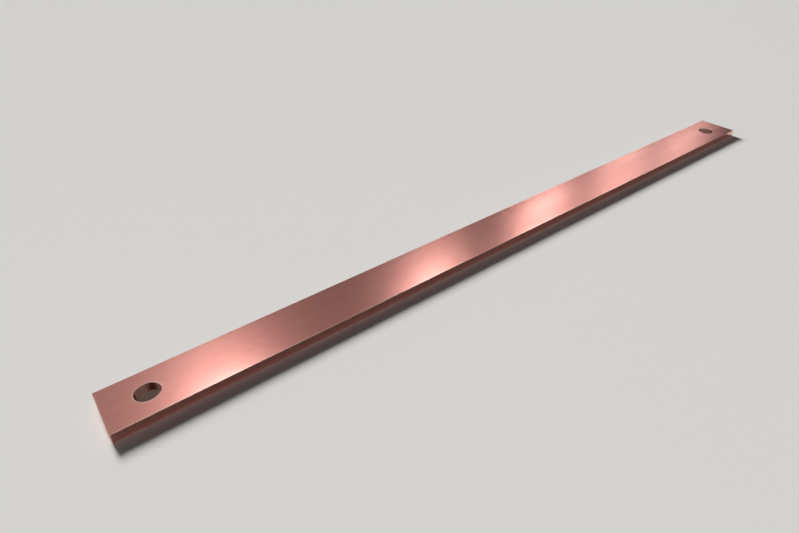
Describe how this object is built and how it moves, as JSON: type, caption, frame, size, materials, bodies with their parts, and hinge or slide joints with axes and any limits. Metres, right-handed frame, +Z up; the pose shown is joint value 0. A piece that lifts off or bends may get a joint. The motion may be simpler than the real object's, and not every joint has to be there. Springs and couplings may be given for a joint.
{
  "type": "copper busbar",
  "caption": "Flat rectangular copper bar that carries current between terminals, with a round bolt hole through it near each sawn end.",
  "frame": {"origin": "middle of the bar's underside, on the level surface it lies on", "axes": "+X along the bar's length, +Y across its width, +Z up through its thickness"},
  "size_m": [0.5, 0.03, 0.005],
  "materials": {
    "copper": "satin"
  },
  "bodies": {
    "root": {"busbar": "copper"}
  },
  "joints": []
}
